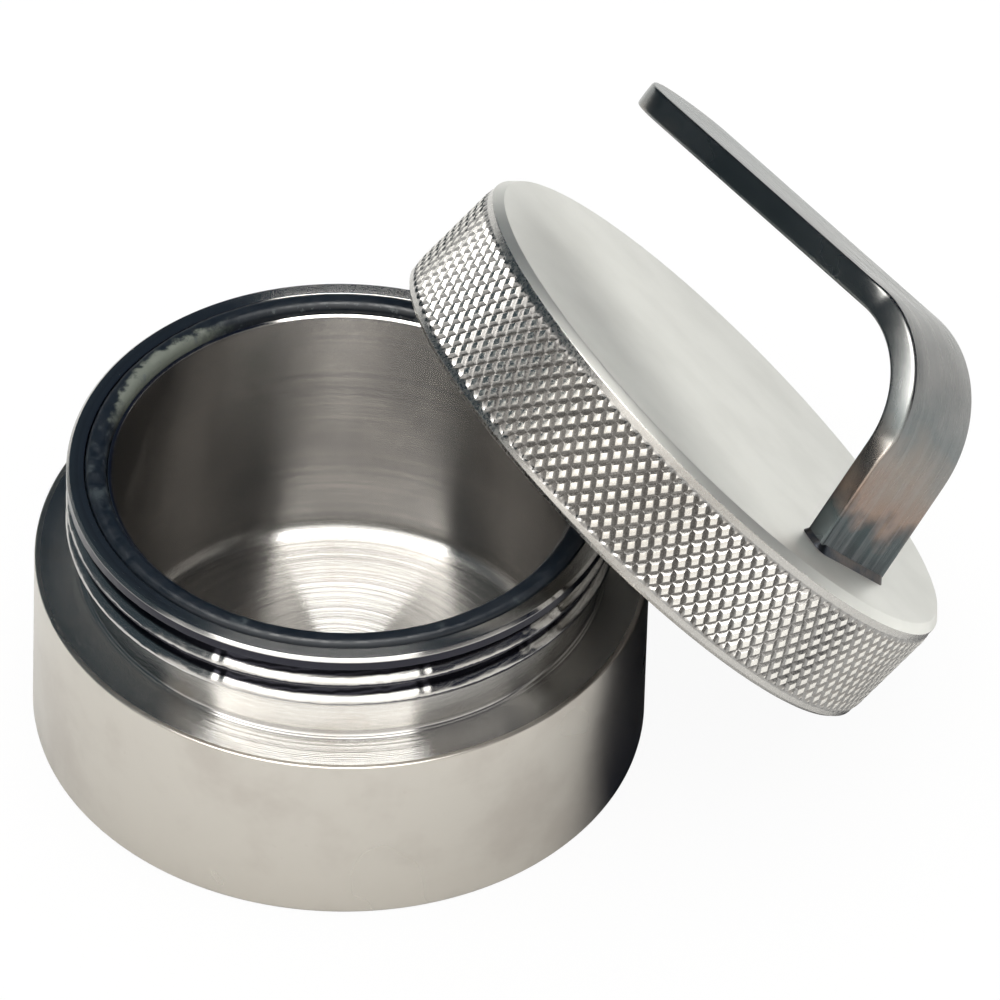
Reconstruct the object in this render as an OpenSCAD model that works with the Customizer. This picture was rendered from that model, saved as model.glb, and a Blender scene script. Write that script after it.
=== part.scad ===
// Fuel sampler cup: a turned stainless cup with a screw neck and a rim seal, and its
// knurled screw cap with a welded strip handle. The cap lies off the cup, its lower edge
// on the ground and its skirt leaning on the neck.
// Origin: centre of the cup's flat base. +Z up the cup's axis, +X the way the cap leans.

/* [Cup] */
// Outside diameter of the cup body
body_d = 60; // [58:1:62]
// Height of the flat shoulder above the base
shoulder_h = 19.5; // [17:0.5:21]
// Height of the neck's rim above the base
rim_h = 31; // [30.5:0.1:32]
// Bore of the cup
bore_d = 45.2; // [43:0.1:45.6]
// Thickness of the floor of the cup
floor_t = 2; // [1.5:0.1:4]

/* [Neck thread] */
// Outside diameter of the thread crests
thread_d = 54; // [53.4:0.1:54.2]
// Pitch of the thread, ten turns to the inch
thread_pitch = 2.54; // [2:0.01:2.6]
// Radial depth of the thread
thread_depth = 1.3; // [0.8:0.1:1.4]

/* [Rim seal] */
// Outside diameter of the seal ring
seal_d = 50.4; // [50:0.1:50.6]
// Radial width of the seal ring
seal_w = 2.1; // [1.6:0.1:2.2]
// Height of the seal ring
seal_t = 2.2; // [1.6:0.1:3]

/* [Cap] */
// Outside diameter over the knurl
cap_d = 61; // [60.4:0.1:61.4]
// Height of the cap without its handle
cap_h = 12.8; // [11.5:0.1:14]
// Thickness of the cap's top plate
cap_top_t = 2.3; // [1.5:0.1:3]
// Chamfer around the cap's top face
cap_bevel = 0.8; // [0.4:0.1:1.5]
// Lean of the cap from level, in degrees
cap_tilt = 48.4; // [46:0.2:50]

/* [Handle] */
// Width of the handle strip
strip_w = 11.6; // [10:0.1:13]
// Thickness of the handle strip
strip_t = 2.6; // [2:0.1:3]
// Radius inside the strip's bend
bend_r = 10.2; // [8:0.1:12]
// Lean of the strip's leg towards the middle of the cap, in degrees
leg_lean = 14; // [8:1:18]
// Droop of the strip's long run towards the cap, in degrees
run_droop = 10; // [0:1:12]
// Length of the straight leg, from the cap to the bend
leg_l = 11; // [8:0.5:14]
// Length of the run from the bend to its round end
run_l = 39.5; // [30:0.5:42]

/* [Hidden] */
$fn = 96;

body_r = body_d / 2;
bore_r = bore_d / 2;
edge_break = 0.5;            // chamfer on the cup's base and shoulder edges
floor_corner = 1.5;          // radius where the bore meets the floor
thread_r = thread_d / 2;
root_r = thread_r - thread_depth;
relief_r = root_r - 0.3;     // plain undercut between the thread and the shoulder
relief_fillet = 0.6;
crest_w = 0.28 * thread_pitch;
flank_w = 0.3 * thread_pitch;
turns = 2;                   // full crests below the rim land
rim_chamfer = 0.8;
lip_drop = 0.5;              // the lip inside the seal stands this far below the rim
lip_chamfer = 0.4;

run_fit = 0.08;              // running clearance around the seal ring
seal_r = seal_d / 2;
seal_in_r = seal_r - seal_w;
seal_proud = 0.45;           // how far the seal stands above the rim
seal_z = rim_h + seal_proud - seal_t;
seal_round = 0.5;

cap_r = cap_d / 2;
margin_r = cap_r - 0.15;     // plain margins above and below the knurl
margin_top = 0.7;
margin_low = 0.9;
skirt_break = 0.4;           // chamfer on the skirt's lower edge
cap_root_r = thread_r + 0.25;
cap_crest_r = cap_root_r - thread_depth - 0.25;
cap_inside_h = cap_h - cap_top_t;
cap_turns = 3;
cap_thread_z = 1.15;         // first internal crest above the skirt's edge
cap_relief = 0.9;            // plain groove between the thread and the top plate

// Where the leaning cap lies: the skirt's lowest point is on the ground.
cap_x = 28.3;
cap_y = -5.3;
cap_z = margin_r * sin(cap_tilt) - skirt_break * cos(cap_tilt);

// The handle's plane stands on the cap, turned from the cap's downhill direction.
handle_turn = -82.5;
handle_side = 2.4;           // the strip's offset from the cap's middle line
foot_r = 21.5;               // the foot's distance from the cap's axis
bend_mid_r = bend_r + strip_t / 2;
bend_sweep = 90 - leg_lean + run_droop;
weld_leg = 1.3;              // leg length of the weld bead

// A ring whose cross-section has chamfered corners, from radius a to radius b.
module soft_ring(a, b, z, h, c) {
    rotate_extrude()
        polygon([[a + c, z], [b - c, z], [b, z + c], [b, z + h - c],
                 [b - c, z + h], [a + c, z + h], [a, z + h - c], [a, z + c]]);
}

// One crest of a thread, pointing away from the axis when out is 1.
module crest(root, depth, z, out) {
    tip = root + out * depth;
    back = root - out * 0.4;
    rotate_extrude()
        polygon([[back, z - crest_w / 2 - flank_w], [root, z - crest_w / 2 - flank_w],
                 [tip, z - crest_w / 2], [tip, z + crest_w / 2],
                 [root, z + crest_w / 2 + flank_w], [back, z + crest_w / 2 + flank_w]]);
}

module cup_body() {
    land_low = rim_h - 0.55 * thread_pitch;
    color([0.74, 0.72, 0.69]) {
        difference() {
            union() {
                rotate_extrude()
                    polygon([[0, 0], [body_r - edge_break, 0], [body_r, edge_break],
                             [body_r, shoulder_h - edge_break], [body_r - edge_break, shoulder_h],
                             [0, shoulder_h]]);
                translate([0, 0, shoulder_h - 1])
                    cylinder(r = root_r, h = rim_h - shoulder_h + 1);
                // The land at the rim, with its chamfer
                rotate_extrude()
                    polygon([[root_r - 1, land_low - flank_w], [root_r, land_low - flank_w],
                             [thread_r, land_low], [thread_r, rim_h - rim_chamfer],
                             [thread_r - rim_chamfer, rim_h], [root_r - 1, rim_h]]);
                for (i = [1 : turns])
                    crest(root_r, thread_depth, land_low + crest_w / 2 - i * thread_pitch + 0.2, 1);
            }
            // Relief groove under the thread
            rotate_extrude()
                polygon([[relief_r, shoulder_h + relief_fillet], [relief_r + relief_fillet, shoulder_h],
                         [thread_r + 1, shoulder_h], [thread_r + 1, land_low - turns * thread_pitch - 0.5],
                         [root_r, land_low - turns * thread_pitch - 0.5],
                         [relief_r, land_low - turns * thread_pitch - 0.8]]);
            // Bore with a rounded corner at the floor
            translate([0, 0, floor_t + floor_corner]) cylinder(r = bore_r, h = rim_h);
            rotate_extrude()
                union() {
                    translate([0, floor_t]) square([bore_r - floor_corner, floor_corner + 0.1]);
                    translate([bore_r - floor_corner, floor_t + floor_corner])
                        intersection() {
                            circle(r = floor_corner);
                            translate([0, -floor_corner]) square([floor_corner, floor_corner + 0.1]);
                        }
                }
            // Lip inside the seal, a little lower than the rim
            rotate_extrude()
                polygon([[0, rim_h - lip_drop - lip_chamfer], [bore_r, rim_h - lip_drop - lip_chamfer],
                         [seal_in_r - run_fit - 0.1, rim_h - lip_drop], [seal_in_r, rim_h - lip_drop],
                         [seal_in_r, rim_h + 1], [0, rim_h + 1]]);
            // Groove that holds the seal ring
            rotate_extrude()
                translate([seal_in_r - run_fit, seal_z - run_fit])
                    square([seal_w + 2 * run_fit, rim_h]);
        }
    }
}

module rim_seal() {
    color([0.07, 0.075, 0.085])
        soft_ring(seal_in_r, seal_r, seal_z, seal_t, seal_round);
}

// Puts a shape drawn on a level cap into the leaning cap's place.
module cap_place() {
    translate([cap_x, cap_y, cap_z]) rotate([0, cap_tilt, 0]) children();
}

module lid_cap() {
    knurl_top = cap_h - cap_bevel - margin_top;
    color([0.76, 0.75, 0.72])
        cap_place()
            union() {
                difference() {
                    rotate_extrude()
                        polygon([[0, 0], [margin_r - skirt_break, 0], [margin_r, skirt_break],
                                 [margin_r, margin_low], [cap_r, margin_low + 0.2],
                                 [cap_r, knurl_top - 0.2], [margin_r, knurl_top],
                                 [margin_r, cap_h - cap_bevel], [margin_r - cap_bevel, cap_h], [0, cap_h]]);
                    translate([0, 0, -1]) cylinder(r = cap_root_r, h = cap_inside_h + 1);
                    // Relief under the top plate
                    translate([0, 0, cap_inside_h - cap_relief])
                        cylinder(r = cap_root_r + 0.15, h = cap_relief);
                }
                for (i = [0 : cap_turns - 1])
                    crest(cap_root_r, cap_root_r - cap_crest_r, cap_thread_z + i * thread_pitch, -1);
            }
}

// Puts a shape drawn in the handle's plane (X outwards, Y up) into place on the cap.
module handle_place() {
    cap_place()
        translate([0, 0, cap_h])
            rotate([0, 0, handle_turn])
                translate([0, handle_side, 0])
                    rotate([90, 0, 0]) children();
}

module handle_outline() {
    // Leg, with its foot trimmed level on the cap
    intersection() {
        translate([foot_r, 0]) rotate(leg_lean)
            translate([-strip_t / 2, -2]) square([strip_t, leg_l + 2]);
        square([2 * cap_r, 2 * cap_r]);
    }
    translate([foot_r, 0]) rotate(leg_lean)
        translate([-bend_mid_r, leg_l]) {
            // Bend
            intersection() {
                difference() {
                    circle(r = bend_r + strip_t);
                    circle(r = bend_r);
                }
                polygon([[0, 0], [3 * bend_r, 0], [3 * bend_r, 3 * bend_r],
                         3 * bend_r * [cos(bend_sweep), sin(bend_sweep)]]);
            }
            // Run, from the bend to the start of its round end
            rotate(bend_sweep)
                translate([bend_r, 0]) square([strip_t, run_l]);
        }
}

// The round end's outline, seen along the strip's thickness.
module round_end() {
    translate([foot_r, 0, 0]) rotate([0, 0, leg_lean])
        translate([-bend_mid_r, leg_l, 0]) rotate([0, 0, bend_sweep])
            translate([0, run_l - strip_w / 2, 0]) rotate([0, 90, 0])
                difference() {
                    translate([-strip_w, 0, 0]) cube([2 * strip_w, strip_w, 2 * bend_mid_r]);
                    translate([0, 0, -1]) cylinder(r = strip_w / 2, h = 2 * bend_mid_r + 2);
                }
}

module handle_strip() {
    color([0.66, 0.64, 0.62])
        handle_place()
            difference() {
                linear_extrude(height = strip_w, center = true) handle_outline();
                round_end();
            }
}

module handle_weld() {
    half_t = strip_t / 2 / cos(leg_lean);
    half_w = strip_w / 2;
    color([0.42, 0.39, 0.38])
        handle_place()
            difference() {
                // A bead with sloping sides, on all four sides of the foot
                intersection() {
                    linear_extrude(height = strip_w + 2 * weld_leg, center = true)
                        translate([foot_r, 0])
                            polygon([[-half_t - weld_leg, 0], [half_t + weld_leg, 0],
                                     [half_t - weld_leg * tan(leg_lean), weld_leg],
                                     [-half_t - weld_leg * tan(leg_lean), weld_leg]]);
                    translate([foot_r - strip_w, 0, 0]) rotate([0, 90, 0])
                        linear_extrude(height = 2 * strip_w)
                            polygon([[-half_w - weld_leg, 0], [half_w + weld_leg, 0],
                                     [half_w, weld_leg], [-half_w, weld_leg]]);
                }
                linear_extrude(height = strip_w, center = true)
                    translate([foot_r, 0]) rotate(leg_lean)
                        translate([-strip_t / 2, -strip_w]) square([strip_t, 2 * strip_w]);
            }
}

cup_body();
rim_seal();
lid_cap();
handle_strip();
handle_weld();
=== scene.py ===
"""Looks of the fuel sampler cup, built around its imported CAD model.

Lengths are in millimetres until a mesh or an object is made, which scales them to metres.
Angles are in radians unless a name ends in _DEG. The cup stands on the floor at the origin.
"""
import math

import bmesh
import bpy
import numpy as np
from mathutils import Matrix, Vector


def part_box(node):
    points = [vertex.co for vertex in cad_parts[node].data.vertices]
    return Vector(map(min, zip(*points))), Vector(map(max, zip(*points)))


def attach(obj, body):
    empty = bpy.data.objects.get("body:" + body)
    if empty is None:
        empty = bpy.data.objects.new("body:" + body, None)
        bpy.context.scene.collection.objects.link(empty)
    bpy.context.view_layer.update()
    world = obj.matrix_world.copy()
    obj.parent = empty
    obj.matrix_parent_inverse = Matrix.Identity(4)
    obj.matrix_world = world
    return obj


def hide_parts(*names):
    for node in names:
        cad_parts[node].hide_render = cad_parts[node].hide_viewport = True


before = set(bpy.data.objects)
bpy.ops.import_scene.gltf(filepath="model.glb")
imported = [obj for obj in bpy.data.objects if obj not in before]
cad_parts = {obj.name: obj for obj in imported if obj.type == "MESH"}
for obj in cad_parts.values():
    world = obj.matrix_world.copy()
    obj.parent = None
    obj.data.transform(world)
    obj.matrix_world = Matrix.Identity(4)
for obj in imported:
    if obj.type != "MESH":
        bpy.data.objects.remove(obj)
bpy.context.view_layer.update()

MM = 0.001
TAU = 2 * math.pi
SHARP_DEG = 28

# The camera: a long lens, turned round the object from the front
VIEW_TURN_DEG = -25.47
VIEW_UP_DEG = 43.03
VIEW_ROLL_DEG = 1.83
VIEW_DISTANCE = 1944.1
VIEW_TARGET = (13.73, -6.54, 27.59)
LENS = 720
MIRRORED_Y = 0.73           # level part of the camera's viewing direction, cos(VIEW_UP_DEG)

# Cup details that its box doesn't give
SHOULDER_H = 19.5
BORE_R = 22.6
FLOOR_T = 2.0
THREAD_R = 27.0
THREAD_PITCH = 2.54
THREAD_DEPTH = 1.3
RELIEF_R = 25.4
RELIEF_TOP = 24.0
LAND_LOW = 29.75            # lower edge of the plain land at the rim
CREST_Z = 27.6              # height of a thread crest where the camera faces it
TOOL_MARK = 0.12            # spacing of the fine turning marks
SHOULDER_SLOPE = 0.36       # steepest slopes of the turning marks
FLOOR_SLOPE = 0.20
NECK_SLOPE = 0.10
RIM_SLOPE = 0.02
THREAD_STEP = 0.07          # height of a mesh row on the thread
ROOT_SHADE_AND_DIRT_R = 26.35         # thread roots inside this radius get painted shade and grime
SEAL_W = 2.1
RUN_FIT = 0.08
RESIDUE_AT = (-11.5, 20.9, 30.9)    # dried residue on the seal

# Cap details
CAP_MARGIN_DROP = 0.15      # the plain margins lie this far below the knurl's tops
CAP_BEVEL = 0.8
CAP_PLATE = 2.3
CAP_ROOT_R = 27.25
KNURL_AROUND = 120
KNURL_HIGH = 5
KNURL_STEPS = 8             # mesh steps across one diamond
KNURL_DEPTH = 0.38
KNURL_FLANK = 0.27          # width of a groove's flank, as a share of the grooves' spacing
KNURL_LOW = 0.9
KNURL_TOP_GAP = 1.5         # from the knurl's upper end to the cap's top face

# Handle strip, in its own plane: X outwards from the cap's axis, Y up from the cap
FOOT_R = 21.5
LEG_LEAN_DEG = 14
RUN_DROOP_DEG = 10
LEG_L = 11.0
RUN_L = 39.5
BEND_R = 10.2
STRIP_T = 2.6
EDGE_CROWN_R = 12.0         # radius of the strip's crowned edges
BEND_TILT = 0.25            # how far the bent stretch's edges lean in towards the outside
TINT_REACH = 24.0           # height over which the heat tint fades
WELD_LEG = 0.7


# ---------------------------------------------------------------- the frame's own sizes

def node_points(name):
    """The vertices of a CAD node, in millimetres."""
    return np.array([v.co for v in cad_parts[name].data.vertices], float) / MM


def widest_normal(name):
    """The direction that a CAD node's largest flat triangle faces."""
    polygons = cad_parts[name].data.polygons
    return np.array(max(polygons, key=lambda p: p.area).normal, float)


def middle(values):
    return (values.min() + values.max()) / 2


def cap_axes():
    """Columns (downhill along the cap's top, across it, out of it) and the top face's middle."""
    out = widest_normal("lid_cap")
    out *= np.sign(out[2])
    down = out * out[2] - np.array([0, 0, 1.0])
    down /= np.linalg.norm(down)
    axes = np.stack([down, np.cross(out, down), out], 1)
    local = node_points("lid_cap") @ axes
    top = local[:, 2].max()
    face = local[local[:, 2] > top - 0.01]
    return axes, axes @ np.array([middle(face[:, 0]), middle(face[:, 1]), top])


def handle_axes(cap, top):
    """Columns (outwards to the foot, up from the cap, along the strip's width), origin and strip width."""
    up = cap[:, 2]
    width = np.cross(widest_normal("handle_strip"), up)
    width /= np.linalg.norm(width)
    out = np.cross(up, width)
    points = node_points("handle_strip") - top
    foot = points[points @ up < 1.0]
    if (foot @ out).mean() < 0:
        out, width = -out, -width
    axes = np.stack([out, up, width], 1)
    return axes, top + width * middle(points @ width), np.ptp(points @ width)


cup_low, cup_high = (np.array(c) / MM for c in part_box("cup_body"))
seal_low, seal_high = (np.array(c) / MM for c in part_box("rim_seal"))
BODY_R, RIM_H = cup_high[0], cup_high[2]
SEAL_R, SEAL_LOW, SEAL_HIGH = seal_high[0], seal_low[2], seal_high[2]
SEAL_IN_R = SEAL_R - SEAL_W
CAP_AXES, CAP_TOP = cap_axes()
cap_local = (node_points("lid_cap") - CAP_TOP) @ CAP_AXES
CAP_R = cap_local[:, 0].max()
CAP_H = -cap_local[:, 2].min()
HANDLE_AXES, HANDLE_FOOT, STRIP_W = handle_axes(CAP_AXES, CAP_TOP)


# ---------------------------------------------------------------- mesh helpers

def fillet_path(corners, steps=5):
    """A polyline through (r, z, fillet) corners, with each corner rounded to its fillet radius."""
    points = []
    for i, (r, z, fillet) in enumerate(corners):
        here = np.array([r, z], float)
        if not fillet or i in (0, len(corners) - 1):
            points.append(here)
            continue
        back = np.array(corners[i - 1][:2], float) - here
        ahead = np.array(corners[i + 1][:2], float) - here
        back /= np.linalg.norm(back)
        ahead /= np.linalg.norm(ahead)
        half = math.acos(np.clip(back @ ahead, -1, 1)) / 2
        reach = fillet / math.tan(half)
        centre = here + (back + ahead) / np.linalg.norm(back + ahead) * fillet / math.sin(half)
        first = here + back * reach - centre
        last = here + ahead * reach - centre
        sweep = math.acos(np.clip(first @ last / fillet ** 2, -1, 1))
        for s in np.linspace(0, 1, steps):
            spoke = math.sin((1 - s) * sweep) * first + math.sin(s * sweep) * last
            points.append(centre + spoke / math.sin(sweep))
    return points


def circles(path, columns):
    """Rows of points: one circle round Z for each (r, z) of the path."""
    turn = np.arange(columns) * TAU / columns
    r = np.array([p[0] for p in path])[:, None]
    z = np.array([p[1] for p in path])[:, None]
    return np.stack([r * np.cos(turn), r * np.sin(turn), z + 0 * turn], -1)


def wavy(turn, seed, waves, amplitude):
    """A closed wobble round the turn: a few sine waves with seeded phases."""
    rng = np.random.default_rng(seed)
    total = sum(np.sin(w * turn + rng.uniform(0, TAU)) * rng.uniform(0.4, 1) for w in waves)
    return amplitude * total / math.sqrt(len(waves))


def tube(name, rows, materials, bands=None, splits=None, ends=True, axes=np.eye(3), origin=np.zeros(3)):
    """A mesh through rows of points, closed round each row, with flat ends.

    bands gives the material of each row of faces. splits is 1 or -1 where a quad is cut along
    its rising or falling diagonal, and 0 where it stays whole. The points are in the given axes
    and keep those coordinates as the attribute "local". The UV map counts columns and rows.
    """
    count, columns = rows.shape[:2]
    i, j = np.meshgrid(np.arange(count - 1), np.arange(columns), indexing="ij")
    a, b, c, d = (i, j), (i, j + 1), (i + 1, j + 1), (i + 1, j)
    cut = np.zeros((count - 1, columns), int) if splits is None else splits
    band = np.zeros(count - 1, int) if bands is None else np.asarray(bands)
    faces, uvs, slots = [], [], []
    cuts = ((0, ((a, b, c, d),)), (1, ((a, b, c), (a, c, d))), (-1, ((a, b, d), (b, c, d))))
    for value, shapes in cuts:
        for shape in shapes:
            corner_i = np.stack([s[0][cut == value] for s in shape], -1)
            corner_j = np.stack([s[1][cut == value] for s in shape], -1)
            faces += (corner_i * columns + corner_j % columns).tolist()
            uvs.append(np.stack([corner_j, corner_i], -1).reshape(-1, 2))
            slots += band[i[cut == value]].tolist()
    if ends:
        ring = np.arange(columns)
        faces += [ring[::-1].tolist(), (ring + (count - 1) * columns).tolist()]
        uvs += [np.stack([ring[::-1], 0 * ring], -1), np.stack([ring, 0 * ring + count - 1], -1)]
        slots += [int(band[0]), int(band[-1])]
    local = rows.reshape(-1, 3)
    mesh = bpy.data.meshes.new(name)
    mesh.from_pydata(((local @ axes.T + origin) * MM).tolist(), [], faces)
    for material in materials:
        mesh.materials.append(material)
    mesh.polygons.foreach_set("material_index", slots)
    mesh.uv_layers.new(name="UVMap").data.foreach_set("uv", np.concatenate(uvs).ravel().astype(np.float32))
    mesh.attributes.new("local", "FLOAT_VECTOR", "POINT").data.foreach_set("vector", local.ravel())
    finish_mesh(mesh)
    piece = bpy.data.objects.new(name, mesh)
    bpy.context.scene.collection.objects.link(piece)
    return piece


def finish_mesh(mesh):
    """Faces outwards, smooth, with edges above SHARP_DEG kept sharp."""
    bm = bmesh.new()
    bm.from_mesh(mesh)
    bmesh.ops.recalc_face_normals(bm, faces=bm.faces)
    bm.to_mesh(mesh)
    bm.free()
    mesh.shade_smooth()
    mesh.set_sharp_from_angle(angle=math.radians(SHARP_DEG))


# ---------------------------------------------------------------- node helpers

def new_material(name):
    material = bpy.data.materials.new(name)
    material.use_nodes = True
    material.node_tree.nodes.clear()
    return material, material.node_tree


def add(tree, kind, inputs=None, out=0, **settings):
    """A node with its settings and inputs (constants or sockets). Returns one of its outputs."""
    made = tree.nodes.new(kind)
    for key, value in settings.items():
        setattr(made, key, value)
    for key, value in (inputs or {}).items():
        if isinstance(value, bpy.types.NodeSocket):
            tree.links.new(value, made.inputs[key])
        else:
            made.inputs[key].default_value = value
    return made.outputs[out]


def maths(tree, operation, a, b=0.0, clamp=False):
    return add(tree, "ShaderNodeMath", {0: a, 1: b}, operation=operation, use_clamp=clamp)


def rise(tree, value, low, high, start=0.0, end=1.0):
    """Maps value smoothly from start at low to end at high."""
    return add(tree, "ShaderNodeMapRange",
               {"Value": value, "From Min": low, "From Max": high, "To Min": start, "To Max": end},
               interpolation_type="SMOOTHSTEP")


def blend(tree, share, a, b):
    """Colour a where share is 0, and colour b where it is 1."""
    made = tree.nodes.new("ShaderNodeMix")
    made.data_type = "RGBA"
    for index, value in ((0, share), (6, a), (7, b)):
        if isinstance(value, bpy.types.NodeSocket):
            tree.links.new(value, made.inputs[index])
        else:
            made.inputs[index].default_value = (*value, 1) if index else value
    return made.outputs[2]


def place(tree):
    """A piece's own coordinates in millimetres, their distance from its axis and their height."""
    point = add(tree, "ShaderNodeAttribute", out=1, attribute_name="local")
    flat = add(tree, "ShaderNodeVectorMath", {0: point, 1: (1, 1, 0)}, operation="MULTIPLY")
    radius = add(tree, "ShaderNodeVectorMath", {0: flat}, out=1, operation="LENGTH")
    height = add(tree, "ShaderNodeSeparateXYZ", {0: point}, out=2)
    return point, radius, height


def noise(tree, vector, scale, detail=3.0, rough=0.5):
    return add(tree, "ShaderNodeTexNoise",
               {"Vector": vector, "Scale": scale, "Detail": detail, "Roughness": rough})


def rings_noise(tree, radius, height, scale, detail=4.0):
    """Noise that is even round the axis, as turning marks are."""
    along = maths(tree, "ADD", radius, height)
    return add(tree, "ShaderNodeTexNoise",
               {"W": along, "Scale": scale, "Detail": detail, "Roughness": 0.6}, noise_dimensions="1D")


def finish_metal(tree, colour, roughness, anisotropic, tangent, normal, metallic=1.0, turn=0.25):
    """turn is the share of a turn from the tangent to the way that highlights stretch."""
    inputs = {"Base Color": colour, "Metallic": metallic, "Roughness": roughness,
              "Anisotropic": anisotropic, "Anisotropic Rotation": turn if anisotropic else 0.0}
    if tangent is not None:
        inputs["Tangent"] = tangent
    if normal is not None:
        inputs["Normal"] = normal
    add_output(tree, add(tree, "ShaderNodeBsdfPrincipled", inputs))


def add_output(tree, shader):
    made = tree.nodes.new("ShaderNodeOutputMaterial")
    tree.links.new(shader, made.inputs["Surface"])


def bump(tree, height, depth, strength):
    return add(tree, "ShaderNodeBump", {"Height": height, "Distance": depth * MM, "Strength": strength})


def grooved(tree, tilt):
    """The surface's normal, tilted across the turning marks by the given slope."""
    flat = add(tree, "ShaderNodeNewGeometry", out=1)
    across = add(tree, "ShaderNodeVectorMath", {0: flat, 1: uv_tangent(tree)}, operation="CROSS_PRODUCT")
    shift = add(tree, "ShaderNodeVectorMath", {0: across, 3: tilt}, operation="SCALE")
    tilted = add(tree, "ShaderNodeVectorMath", {0: flat, 1: shift}, operation="ADD")
    return add(tree, "ShaderNodeVectorMath", {0: tilted}, operation="NORMALIZE")


def uv_tangent(tree):
    return add(tree, "ShaderNodeTangent", direction_type="UV_MAP", uv_map="UVMap")


# ---------------------------------------------------------------- materials

def satin_side():
    """The cup's outer wall: fine satin with faint warm handling stains."""
    material, tree = new_material("satin_side")
    point, radius, height = place(tree)
    marks = rings_noise(tree, radius, height, 9.0)
    stain = rise(tree, noise(tree, point, 0.09, 4.0, 0.6), 0.45, 0.72)
    colour = blend(tree, stain, (0.555, 0.525, 0.48), (0.49, 0.455, 0.415))
    speck = rise(tree, noise(tree, point, 1.1, 2.0), 0.70, 0.78)
    colour = blend(tree, maths(tree, "MULTIPLY", speck, 0.2), colour, (0.45, 0.40, 0.36))
    roughness = rise(tree, noise(tree, point, 0.08, 2.0), 0.3, 0.7, 0.27, 0.30)
    normal = bump(tree, marks, 0.004, 0.5)
    finish_metal(tree, colour, roughness, 0.35, uv_tangent(tree), normal)
    return material


def turned_steel():
    """Turned faces with concentric tool marks: the shoulder, neck, rim and floor, and inside the cap. The
    thread's roots and downward-facing flanks get painted shade with some grime.
    """
    material, tree = new_material("turned_steel")
    point, radius, height = place(tree)
    fine = rings_noise(tree, radius, height, 14.0, 5.0)
    wide = rings_noise(tree, radius, height, 1.6, 3.0)
    colour = blend(tree, rise(tree, wide, 0.35, 0.7), (0.62, 0.61, 0.59), (0.53, 0.52, 0.51))
    stain = rise(tree, noise(tree, point, 0.22, 5.0, 0.65), 0.5, 0.75)
    colour = blend(tree, maths(tree, "MULTIPLY", stain, 0.4), colour, (0.45, 0.40, 0.36))
    floor_share = rise(tree, height, FLOOR_T + 1.5, FLOOR_T + 0.5)
    # Painted shade with some grime: the thread's downward-facing flanks and its roots are painted near black
    upward = add(tree, "ShaderNodeSeparateXYZ", {0: add(tree, "ShaderNodeNewGeometry", out=1)}, out=2)
    ragged = maths(tree, "ADD", upward, rise(tree, noise(tree, point, 4.0, 4.0, 0.7), 0.2, 0.8, -0.10, 0.10))
    deep = rise(tree, radius, ROOT_SHADE_AND_DIRT_R + 0.1, ROOT_SHADE_AND_DIRT_R - 0.1)
    root_shade_and_grime = maths(tree, "MAXIMUM", rise(tree, ragged, 0.45, 0.25), deep)
    root_shade_and_grime = maths(tree, "MULTIPLY", root_shade_and_grime, rise(tree, height, RELIEF_TOP + 0.9, RELIEF_TOP + 1.3))
    root_shade_and_grime = maths(tree, "MULTIPLY", root_shade_and_grime, rise(tree, height, RIM_H - 0.2, RIM_H - 0.4))
    root_shade_and_grime = maths(tree, "MULTIPLY", root_shade_and_grime, rise(tree, radius, THREAD_R - 2.0, THREAD_R - 1.8))
    colour = blend(tree, root_shade_and_grime, colour, (0.035, 0.035, 0.045))
    rim = rise(tree, height, RIM_H - 1.0, RIM_H - 0.8)
    shoulder = maths(tree, "MULTIPLY", rise(tree, height, SHOULDER_H + 0.5, SHOULDER_H + 0.3),
                     rise(tree, radius, RELIEF_R, RELIEF_R + 0.3))
    slope = maths(tree, "ADD", maths(tree, "MULTIPLY", shoulder, SHOULDER_SLOPE),
                  maths(tree, "MULTIPLY", floor_share, FLOOR_SLOPE))
    slope = maths(tree, "ADD", slope, rise(tree, rim, 0, 1, NECK_SLOPE, RIM_SLOPE))
    roughness = rise(tree, fine, 0.3, 0.7, 0.15, 0.20)
    along = maths(tree, "MULTIPLY", maths(tree, "ADD", radius, height), TAU / TOOL_MARK)
    along = maths(tree, "ADD", along, maths(tree, "MULTIPLY", wide, 9.0))
    marks = maths(tree, "MULTIPLY", maths(tree, "SINE", along), rise(tree, fine, 0.25, 0.7, 0.35, 1.0))
    normal = grooved(tree, maths(tree, "MULTIPLY", marks, slope))
    finish_metal(tree, colour, roughness, 1.0, uv_tangent(tree), normal)
    return material


def bore_steel_shaded():
    """The cup's inner wall: rougher than the turned faces and painted darker as shade inside the cup, with a
    soft gleam.
    """
    material, tree = new_material("bore_steel_shaded")
    point, radius, height = place(tree)
    wide = rings_noise(tree, radius, height, 1.6, 3.0)
    # Painted shade: the inner wall's colour is darker than the turned steel's
    colour = blend(tree, rise(tree, wide, 0.3, 0.7), (0.44, 0.425, 0.405), (0.38, 0.37, 0.36))
    cloud = rise(tree, noise(tree, point, 0.15, 4.0), 0.35, 0.7)
    colour = blend(tree, maths(tree, "MULTIPLY", cloud, 0.4), colour, (0.27, 0.265, 0.265))
    finish_metal(tree, colour, 0.25, 1.0, uv_tangent(tree), None)
    return material


def matte_plate():
    """The cap's top face: matt and almost even, with a faint cloudiness."""
    material, tree = new_material("matte_plate")
    point = place(tree)[0]
    soft = noise(tree, point, 0.12, 3.0)
    colour = blend(tree, rise(tree, soft, 0.35, 0.7), (0.87, 0.87, 0.83), (0.82, 0.82, 0.78))
    grain = noise(tree, point, 9.0, 2.0)
    normal = bump(tree, grain, 0.006, 0.6)
    finish_metal(tree, colour, 0.46, 0.0, None, normal)
    return material


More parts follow.
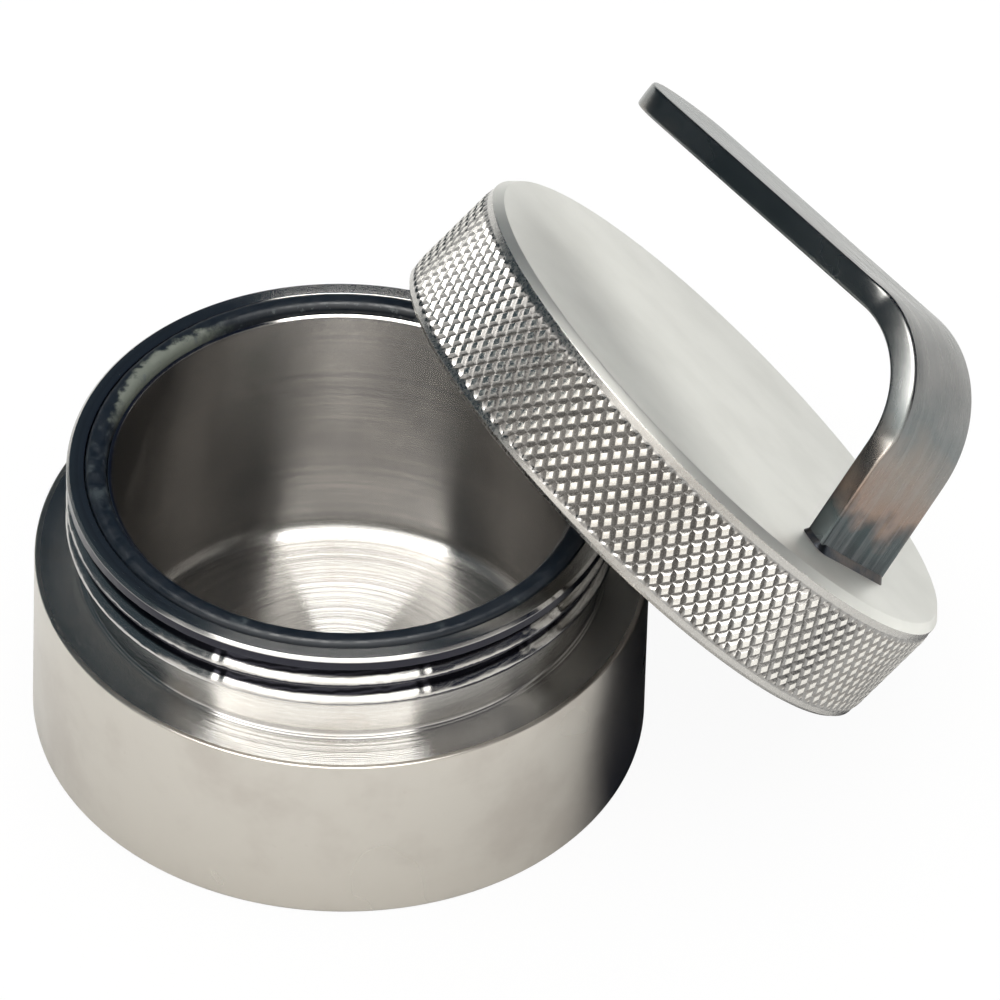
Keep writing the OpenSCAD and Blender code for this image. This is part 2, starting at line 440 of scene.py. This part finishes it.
def margins(tree, height):
    """1 on the plain bands beside the knurl, and 0 on the knurl."""
    low = rise(tree, height, KNURL_LOW - CAP_H + 0.1, KNURL_LOW - CAP_H)
    return maths(tree, "MAXIMUM", low, rise(tree, height, -KNURL_TOP_GAP - 0.1, -KNURL_TOP_GAP))


def knurl_steel():
    """The cap's knurled side: bright tops, and grooves painted darker as shade and patchy dirt."""
    material, tree = new_material("knurl_steel")
    point, radius, height = place(tree)
    depth = rise(tree, radius, CAP_R - 0.10, CAP_R - 0.02)
    depth = maths(tree, "MAXIMUM", depth, maths(tree, "MULTIPLY", margins(tree, height), 0.35))
    patchy = noise(tree, point, 0.35, 4.0)
    # Painted shade with patchy dirt: the grooves are coloured darker than the tops
    shaded_groove = blend(tree, patchy, (0.26, 0.255, 0.25), (0.40, 0.39, 0.38))
    colour = blend(tree, depth, shaded_groove, (0.80, 0.775, 0.73))
    roughness = rise(tree, noise(tree, point, 3.0, 3.0), 0.3, 0.7, 0.22, 0.34)
    normal = bump(tree, noise(tree, point, 6.0, 3.0), 0.012, 0.5)
    finish_metal(tree, colour, roughness, 0.0, None, normal)
    return material


def seal_rubber():
    """The rim seal: black rubber with a faint sheen, a little dried residue, and a painted highlight in
    patches along its inner edge.
    """
    material, tree = new_material("seal_rubber")
    point, radius = place(tree)[:2]
    patch = rise(tree, noise(tree, point, 0.30, 5.0, 0.7), 0.58, 0.72)
    colour = blend(tree, patch, (0.004, 0.008, 0.014), (0.030, 0.040, 0.046))
    away = add(tree, "ShaderNodeVectorMath", {0: point, 1: RESIDUE_AT}, out=1, operation="DISTANCE")
    crumbs = noise(tree, point, 0.9, 4.0, 0.7)
    residue = rise(tree, maths(tree, "ADD", away, maths(tree, "MULTIPLY", crumbs, 9.0)), 15.0, 9.0)
    edge = maths(tree, "ADD", radius, maths(tree, "MULTIPLY", crumbs, 3.0))
    edge = maths(tree, "ADD", edge, maths(tree, "MULTIPLY", away, 0.06))
    residue = maths(tree, "MULTIPLY", residue, rise(tree, edge, SEAL_R + 0.9, SEAL_R + 0.1))
    colour = blend(tree, residue, colour, (0.14, 0.155, 0.13))
    # Painted highlight: lighter grey-blue patches along the seal's inner edge
    inner = rise(tree, radius, SEAL_IN_R + 0.5, SEAL_IN_R + 0.2)
    inner_edge_highlight = maths(tree, "MULTIPLY", rise(tree, crumbs, 0.56, 0.62), inner)
    colour = blend(tree, maths(tree, "MULTIPLY", inner_edge_highlight, 0.6), colour, (0.10, 0.115, 0.12))
    roughness = rise(tree, noise(tree, point, 1.2, 3.0), 0.3, 0.7, 0.28, 0.5)
    normal = bump(tree, noise(tree, point, 2.5, 3.0), 0.03, 0.5)
    finish_metal(tree, colour, roughness, 0.0, None, normal, metallic=0.0)
    return material


def strip_steel():
    """The handle strip: rolled steel with lengthwise grain and heat tint up from the foot."""
    material, tree = new_material("strip_steel")
    point = place(tree)[0]
    lift = add(tree, "ShaderNodeSeparateXYZ", {0: point}, out=1)
    grain_at = add(tree, "ShaderNodeVectorMath", {0: point, 1: (0.06, 0.06, 1.1)}, operation="MULTIPLY")
    grain = noise(tree, grain_at, 1.0, 4.0, 0.6)
    uneven = rise(tree, noise(tree, point, 0.28, 3.0), 0.2, 0.8, -1.6, 1.6)
    tinted = maths(tree, "ADD", lift, uneven)
    ramp = tree.nodes.new("ShaderNodeValToRGB")
    tree.links.new(maths(tree, "DIVIDE", tinted, TINT_REACH, clamp=True), ramp.inputs[0])
    stops = ((0.0, (0.035, 0.042, 0.045)), (0.13, (0.05, 0.065, 0.068)), (0.18, (0.11, 0.095, 0.088)),
             (0.26, (0.25, 0.185, 0.15)), (0.40, (0.25, 0.22, 0.195)), (0.60, (0.165, 0.18, 0.18)),
             (0.78, (0.25, 0.25, 0.245)), (1.0, (0.36, 0.355, 0.345)))
    ramp.color_ramp.elements.remove(ramp.color_ramp.elements[1])
    for at, colour in stops:
        stop = ramp.color_ramp.elements[0] if at == 0.0 else ramp.color_ramp.elements.new(at)
        stop.color = (*colour, 1)
    colour = blend(tree, rise(tree, grain, 0.35, 0.75, 0.0, 0.25), ramp.outputs[0], (0.33, 0.33, 0.34))
    roughness = rise(tree, grain, 0.3, 0.7, 0.25, 0.30)
    normal = bump(tree, grain, 0.004, 0.5)
    finish_metal(tree, colour, roughness, 0.6, uv_tangent(tree), normal, turn=0.0)
    return material


def weld_steel():
    """The weld bead: heat-darkened, and painted darker still as the shade along the strip's foot, with a
    trace of blue and straw.
    """
    material, tree = new_material("weld_steel")
    point = place(tree)[0]
    tint = noise(tree, point, 0.5, 3.0)
    # Painted shade: part of this near-black colour stands for the shadow along the foot's near side
    colour = blend(tree, rise(tree, tint, 0.35, 0.65), (0.035, 0.04, 0.05), (0.09, 0.08, 0.075))
    normal = bump(tree, noise(tree, point, 3.0, 3.0), 0.05, 0.6)
    finish_metal(tree, colour, 0.36, 0.0, None, normal)
    return material


def white_floor():
    """White paper, almost without shadows to the camera.

    Steel that reflects it sees a painted shadow on it, a dark patch to the right of the cup and under the
    cap.
    """
    material, tree = new_material("white_floor")
    at = add(tree, "ShaderNodeTexCoord", out=3)
    at = add(tree, "ShaderNodeVectorRotate",
             {"Vector": at, "Axis": (0, 0, 1), "Angle": -math.radians(VIEW_TURN_DEG)})
    split = tree.nodes.new("ShaderNodeSeparateXYZ")
    tree.links.new(at, split.inputs[0])
    x, y = split.outputs[:2]
    # Painted shadow seen only in reflections: a dark patch right of the cup, under the cap
    edge = maths(tree, "SUBTRACT", y, maths(tree, "MULTIPLY", x, 0.4))
    patch = maths(tree, "MULTIPLY", rise(tree, edge, -0.031, -0.023), rise(tree, x, 0.020, 0.024))
    patch = maths(tree, "MULTIPLY", patch, rise(tree, x, 0.075, 0.055))
    patch = maths(tree, "MULTIPLY", patch, rise(tree, y, 0.026, 0.018))
    rays = tree.nodes.new("ShaderNodeLightPath").outputs
    patch = maths(tree, "MULTIPLY", patch, rays["Is Glossy Ray"])
    colour = blend(tree, patch, (0.86, 0.86, 0.85), (0.008, 0.012, 0.028))
    paper = add(tree, "ShaderNodeBsdfPrincipled",
                {"Base Color": colour, "Roughness": 0.6, "Specular IOR Level": 0.2})
    glow = add(tree, "ShaderNodeEmission", {"Color": (1, 1, 1, 1), "Strength": 1.0})
    lit = maths(tree, "MULTIPLY", rays["Is Camera Ray"], 0.94)
    add_output(tree, add(tree, "ShaderNodeMixShader", {0: lit, 1: paper, 2: glow}))
    return material


# ---------------------------------------------------------------- pieces

def thread_share(phase):
    """Height of a worn, rounded thread: 1 on the crest, at whole phases, and 0 at the root."""
    return (0.5 + 0.5 * np.cos(TAU * phase)) ** 0.8


def cup(side, turned, bore):
    columns = 720
    turn = np.arange(columns) * TAU / columns
    outside = fillet_path([(BODY_R - 12, 0, 0), (BODY_R, 0, 0.5), (BODY_R, SHOULDER_H, 0.22),
                           (BODY_R - 0.55, SHOULDER_H, 0)])
    shoulder = fillet_path([(BODY_R - 0.6, SHOULDER_H - 0.03, 0), (BODY_R - 2.5, SHOULDER_H - 0.03, 0),
                            (RELIEF_R, SHOULDER_H, 0.6), (RELIEF_R, RELIEF_TOP, 0)], 7)
    front = math.radians(VIEW_TURN_DEG) - math.pi / 2
    heights = np.arange(RELIEF_TOP + THREAD_STEP, LAND_LOW + 0.25, THREAD_STEP)
    z = heights[:, None] + wavy(turn, 3, (31, 57, 89, 131), 0.02)
    lead = ((turn - front + math.pi) % TAU - math.pi) / TAU
    share = thread_share((z - CREST_Z) / THREAD_PITCH - lead)
    land = np.clip((z - LAND_LOW) / 0.6 + 1, 0, 1) ** 0.6
    share = np.maximum(share, land)
    start = np.clip((heights[:, None] - RELIEF_TOP) / 0.3, 0, 1)
    root = THREAD_R - THREAD_DEPTH
    radius = RELIEF_R + (root - RELIEF_R + share * THREAD_DEPTH) * start
    burr = (share > 0.97) * wavy(turn, 8, (61, 97, 143, 211), 0.015)
    radius = np.minimum(radius + burr, THREAD_R)
    thread = np.stack([radius * np.cos(turn), radius * np.sin(turn), heights[:, None] + 0 * turn], -1)
    groove_r = SEAL_R + RUN_FIT
    lip_r = SEAL_IN_R - RUN_FIT
    top = fillet_path([(THREAD_R, LAND_LOW + 0.28, 0), (THREAD_R, RIM_H - 0.3, 0.1),
                       (THREAD_R - 0.3, RIM_H, 0.1),
                       (groove_r, RIM_H, 0.08), (groove_r, SEAL_LOW - RUN_FIT, 0),
                       (lip_r, SEAL_LOW - RUN_FIT, 0), (lip_r, RIM_H - 0.5, 0.1),
                       (BORE_R, RIM_H - 0.72, 0.15), (BORE_R, FLOOR_T, 1.5), (1.2, FLOOR_T, 0),
                       (0.7, FLOOR_T - 0.1, 0)], 7)
    rows = np.concatenate([circles(outside + shoulder, columns), thread, circles(top, columns)])
    bands = np.ones(len(rows) - 1, int)
    bands[:len(outside) - 1] = 0
    radius, height = np.hypot(rows[1:, 0, 0], rows[1:, 0, 1]), rows[1:, 0, 2]
    bands[(radius < BORE_R + 0.01) & (height > FLOOR_T + 1.0)] = 2
    return tube("cup_body_turned", rows, [side, turned, bore], bands)


def rim_seal(rubber):
    columns = 360
    turn = np.arange(columns) * TAU / columns
    section = fillet_path([(SEAL_IN_R + 1, SEAL_LOW, 0), (SEAL_R, SEAL_LOW, 0.5), (SEAL_R, SEAL_HIGH, 0.75),
                           (SEAL_IN_R, SEAL_HIGH, 0.75), (SEAL_IN_R, SEAL_LOW, 0.5),
                           (SEAL_IN_R + 0.6, SEAL_LOW, 0)], 8)
    rows = circles(section, columns)
    high = rows[..., 2] > SEAL_HIGH - 0.8
    rows[..., 2] -= high * np.abs(wavy(turn, 5, (3, 7, 16, 29, 44), 0.05))
    return tube("rim_seal_ring", np.concatenate([rows, rows[:1]]), [rubber], ends=False)


def off_groove(steps):
    """Distance to the nearest whole number, where a groove runs."""
    return np.abs((steps + 0.5) % 1 - 0.5)


def knurl_rows(columns):
    """Rows of the knurled band, flat-topped diamonds that fade out at both ends, and the quads' cuts."""
    turn = np.arange(columns) * TAU / columns
    high = CAP_H - KNURL_TOP_GAP - KNURL_LOW
    count = KNURL_HIGH * KNURL_STEPS
    level = np.arange(count + 1)[:, None] / KNURL_STEPS
    across = np.arange(columns)[None] / KNURL_STEPS
    share = np.clip(np.minimum(off_groove(across + level), off_groove(across - level)) / KNURL_FLANK, 0, 1)
    fade = np.clip(np.minimum(level, KNURL_HIGH - level) * 4, 0, 1)
    margin = CAP_R - CAP_MARGIN_DROP
    radius = margin + (CAP_R - (1 - share) * KNURL_DEPTH - margin) * fade
    z = KNURL_LOW + level / KNURL_HIGH * high
    rows = np.stack([radius * np.cos(turn), radius * np.sin(turn), z + 0 * turn], -1)
    level = level[:-1] + 0.5 / KNURL_STEPS
    across = across + 0.5 / KNURL_STEPS
    return rows, np.where(off_groove(across + level) < off_groove(across - level), -1, 1)


def lid_cap(plate, knurl, turned):
    """The cap, drawn level with its skirt's edge at height 0 and then moved to its leaning place."""
    columns = KNURL_AROUND * KNURL_STEPS
    turn = np.arange(columns) * TAU / columns
    margin = CAP_R - CAP_MARGIN_DROP
    inside_h = CAP_H - CAP_PLATE
    crest_r = CAP_ROOT_R - THREAD_DEPTH - 0.25
    inner = fillet_path([(14, inside_h, 0), (CAP_ROOT_R + 0.15, inside_h, 0.3),
                         (CAP_ROOT_R + 0.15, inside_h - 0.9, 0)])
    heights = np.arange(inside_h - 1.0, 0.35, -0.1)[:, None]
    share = thread_share((heights - 1.15) / THREAD_PITCH - turn / TAU)
    share = share * np.clip((inside_h - 0.9 - heights) / 0.4, 0, 1)
    radius = CAP_ROOT_R - share * (CAP_ROOT_R - crest_r)
    thread = np.stack([radius * np.cos(turn), radius * np.sin(turn), heights + 0 * turn], -1)
    skirt = fillet_path([(CAP_ROOT_R, 0.3, 0), (CAP_ROOT_R + 0.35, 0, 0.1), (margin - 0.4, 0, 0.03),
                         (margin, 0.4, 0.05), (margin, KNURL_LOW - 0.02, 0)])
    band, cut = knurl_rows(columns)
    crown = fillet_path([(margin, CAP_H - KNURL_TOP_GAP + 0.02, 0), (margin, CAP_H - CAP_BEVEL, 0.12),
                         (margin - CAP_BEVEL, CAP_H, 0.12), (margin - CAP_BEVEL - 0.4, CAP_H, 0)])
    face = [(r, CAP_H) for r in (margin - 3, 20, 12, 6)]
    parts = [circles(inner, columns), thread, circles(skirt, columns), band,
             circles(crown + face, columns)]
    rows = np.concatenate(parts)
    rows[..., 2] -= CAP_H
    sizes = np.cumsum([0] + [len(p) for p in parts])
    bands = np.zeros(len(rows) - 1, int)
    bands[:sizes[2]] = 2
    bands[sizes[2]:sizes[4] + 4] = 1
    splits = np.zeros((len(rows) - 1, columns), int)
    splits[sizes[3]:sizes[4] - 1] = cut
    return tube("lid_cap_knurled", rows, [plate, knurl, turned], bands, splits,
                axes=CAP_AXES, origin=CAP_TOP)


def strip_frames():
    """The strip's middle from foot to end, and the direction of its leg, in the handle's plane.

    Each point comes with its outward normal and its distance along the strip.
    """
    lean, droop = math.radians(LEG_LEAN_DEG), math.radians(RUN_DROOP_DEG)
    leg = np.array([-math.sin(lean), math.cos(lean)])
    out = np.array([math.cos(lean), math.sin(lean)])
    bend_mid = BEND_R + STRIP_T / 2
    sweep = math.pi / 2 - lean + droop
    foot = np.array([FOOT_R, 0.0])
    centre = foot + leg * LEG_L - out * bend_mid
    frames = [(foot + leg * s, out, s) for s in np.linspace(0, LEG_L, 12)]
    for t in np.linspace(0, sweep, 40)[1:]:
        normal = out * math.cos(t) + leg * math.sin(t)
        frames.append((centre + normal * bend_mid, normal, LEG_L + bend_mid * t))
    along = -out * math.sin(sweep) + leg * math.cos(sweep)
    run_start, done = frames[-1][0], frames[-1][2]
    flat = RUN_L - STRIP_W / 2
    ends = flat + STRIP_W / 2 * np.sin(np.linspace(0, 1, 22) ** 0.8 * math.pi / 2)
    for s in [*np.linspace(0, flat, 24)[1:-1], *ends]:
        frames.append((run_start + along * s, normal, done + s))
    return frames, leg


def strip_section(half_width, tilt):
    """(across the width, across the thickness) points round the strip, with crowned edges."""
    half_t = STRIP_T / 2
    corner = 0.3
    slope = math.asin((half_t - corner) / EDGE_CROWN_R)
    crown = [(EDGE_CROWN_R * (math.cos(a) - 1), EDGE_CROWN_R * math.sin(a))
             for a in np.linspace(-slope, slope, 13)]
    edge_x, edge_y = crown[-1]
    turns = np.linspace(slope, math.pi / 2, 5)[1:]
    soft = (half_t - edge_y) / (1 - math.sin(slope))
    corner_up = [(edge_x + soft * (math.cos(a) - math.cos(slope)),
                  edge_y + soft * (math.sin(a) - math.sin(slope))) for a in turns]
    corner_down = [(x, -y) for x, y in corner_up[::-1]]
    side = corner_down + crown + corner_up
    reach = -corner_up[-1][0]
    scale = min(1.0, half_width / reach)
    right = [(half_width + x * scale - tilt * (y + half_t), y) for x, y in side]
    left = [(-x, -y) for x, y in right]
    flat = [(right[-1][0] * f, half_t) for f in (0.6, 0.2, -0.2, -0.6)]
    return right + flat + left + [(-x, -y) for x, y in flat]


def handle_strip(steel):
    frames, leg = strip_frames()
    total = frames[-1][2]
    bend_length = total - RUN_L - LEG_L
    rows = []
    for point, normal, s in frames:
        past = s - (total - STRIP_W / 2)
        half_width = math.sqrt(max(STRIP_W ** 2 / 4 - max(past, 0) ** 2, 0.02 ** 2))
        bent = np.clip(min(s - LEG_L, LEG_L + bend_length - s) / 2.5 + 0.5, 0, 1)
        row = []
        for x, y in strip_section(half_width, BEND_TILT * bent):
            at = point + normal * y
            if s == 0:
                at = at - leg * at[1] / leg[1]
            row.append((at[0], at[1], x))
        rows.append(row)
    return tube("handle_strip_bent", np.array(rows), [steel], axes=HANDLE_AXES, origin=HANDLE_FOOT)


def handle_weld(steel):
    """A rippled bead round the strip's foot."""
    lean = math.radians(LEG_LEAN_DEG)
    half_t = STRIP_T / 2 / math.cos(lean) - 0.15
    half_w = STRIP_W / 2 - 0.3
    corner = 0.5
    path = []
    for sx, sy, start in ((1, 1, 0), (-1, 1, 1), (-1, -1, 2), (1, -1, 3)):
        for a in np.linspace(0, math.pi / 2, 6):
            turn = a + start * math.pi / 2
            path.append((sx * (half_t - corner) + corner * math.cos(turn),
                         sy * (half_w - corner) + corner * math.sin(turn), turn))
    dense = []
    for (x0, y0, t0), (x1, y1, t1) in zip(path, path[1:] + path[:1]):
        if t1 < t0:
            t1 += TAU
        steps = max(2, int(math.hypot(x1 - x0, y1 - y0) / 0.12))
        for f in np.arange(steps) / steps:
            dense.append((x0 + (x1 - x0) * f, y0 + (y1 - y0) * f, t0 + (t1 - t0) * f))
    dense = np.array(dense)
    ripple = 1 + wavy(np.arange(len(dense)) * TAU / len(dense), 12, (2, 3, 5), 0.08)
    rows = []
    for a in np.linspace(0, math.pi / 2, 9):
        out = WELD_LEG * 0.9 * (1 - 0.75 * math.sin(a) ** 1.3) * ripple + 0.05
        up = WELD_LEG * math.sin(a) ** 1.2 * ripple * 0.95
        x = FOOT_R + dense[:, 0] + out * np.cos(dense[:, 2]) - np.tan(lean) * up
        rows.append(np.stack([x, up, dense[:, 1] + out * np.sin(dense[:, 2])], -1))
    return tube("handle_weld_bead", np.array(rows), [steel], axes=HANDLE_AXES, origin=HANDLE_FOOT)


# ---------------------------------------------------------------- studio

def camera():
    up, roll = math.radians(VIEW_UP_DEG), math.radians(VIEW_ROLL_DEG)
    turn = Matrix.Rotation(math.radians(VIEW_TURN_DEG), 3, "Z")
    back = turn @ Vector((0, -math.cos(up), math.sin(up)))
    right = turn @ Vector((1, 0, 0))
    top = back.cross(right)
    right, top = (right * math.cos(roll) + top * math.sin(roll),
                  top * math.cos(roll) - right * math.sin(roll))
    data = bpy.data.cameras.new("camera")
    data.lens = LENS
    data.clip_start = 0.05
    data.clip_end = 100
    made = bpy.data.objects.new("camera", data)
    bpy.context.scene.collection.objects.link(made)
    matrix = Matrix((right, top, back)).transposed().to_4x4()
    matrix.translation = (Vector(VIEW_TARGET) + back * VIEW_DISTANCE) * MM
    made.matrix_world = matrix
    bpy.context.scene.camera = made


def floor():
    half = 20.0
    mesh = bpy.data.meshes.new("floor")
    corners = [(-half, -half, 0), (half, -half, 0), (half, half, 0), (-half, half, 0)]
    mesh.from_pydata(corners, [], [(0, 1, 2, 3)])
    mesh.materials.append(white_floor())
    made = bpy.data.objects.new("floor", mesh)
    bpy.context.scene.collection.objects.link(made)


def studio_light():
    """Reflections see a softbox overhead, a pale front and dark sides. Other rays see an even dome."""
    world = bpy.data.worlds.new("studio")
    bpy.context.scene.world = world
    world.use_nodes = True
    tree = world.node_tree
    tree.nodes.clear()
    way = add(tree, "ShaderNodeTexCoord", out=0)
    way = add(tree, "ShaderNodeVectorRotate",
              {"Vector": way, "Axis": (0, 0, 1), "Angle": -math.radians(VIEW_TURN_DEG)})
    split = tree.nodes.new("ShaderNodeSeparateXYZ")
    tree.links.new(way, split.inputs[0])
    x, y, z = split.outputs
    # Turned steel smears light round its axis, so the lights end along lines through the mirrored view
    fan = maths(tree, "DIVIDE", x, maths(tree, "MAXIMUM", maths(tree, "SUBTRACT", MIRRORED_Y, y), 0.2))
    inside = maths(tree, "MULTIPLY", rise(tree, fan, -0.55, -0.47), rise(tree, fan, 0.33, 0.27))
    box = maths(tree, "MULTIPLY", inside, rise(tree, y, 0.24, 0.16))
    box = maths(tree, "MULTIPLY", box, rise(tree, y, -0.36, -0.28))
    front = maths(tree, "MAXIMUM", inside, rise(tree, z, 0.62, 0.45))
    front = maths(tree, "MULTIPLY", front, rise(tree, y, -0.28, -0.36))
    dark = blend(tree, rise(tree, x, -0.4, 0.3), (0.052, 0.072, 0.086), (0.008, 0.012, 0.026))
    bright = blend(tree, rise(tree, z, 0.35, 0.62), (0.95, 0.92, 0.87), (1.9, 1.86, 1.78))
    sky = blend(tree, front, dark, bright)
    sky = blend(tree, box, sky, (9.0, 8.9, 8.6))
    path = tree.nodes.new("ShaderNodeLightPath").outputs
    dome = blend(tree, rise(tree, z, 0.1, 0.7), (0.45, 0.45, 0.46), (1.55, 1.55, 1.53))
    colour = blend(tree, path["Is Glossy Ray"], dome, sky)
    colour = blend(tree, path["Is Camera Ray"], colour, (1.0, 1.0, 1.0))
    background = add(tree, "ShaderNodeBackground", {"Color": colour, "Strength": 1.0})
    made = tree.nodes.new("ShaderNodeOutputWorld")
    tree.links.new(background, made.inputs["Surface"])
    world.cycles.sampling_method = "NONE"
    bpy.context.scene.view_settings.view_transform = "Standard"


camera()
floor()
studio_light()

turned = turned_steel()
pieces = (
    (cup(satin_side(), turned, bore_steel_shaded()), "cup", "cup_body", "cup_steel"),
    (rim_seal(seal_rubber()), "seal", "rim_seal", "seal_rubber"),
    (lid_cap(matte_plate(), knurl_steel(), turned), "cap", "lid_cap", "cap_steel"),
    (handle_strip(strip_steel()), "cap", "handle_strip", "strip_steel"),
    (handle_weld(weld_steel()), "cap", "handle_weld", "weld_steel"),
)
for piece, body, node, slot in pieces:
    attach(piece, body)
    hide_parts(node)
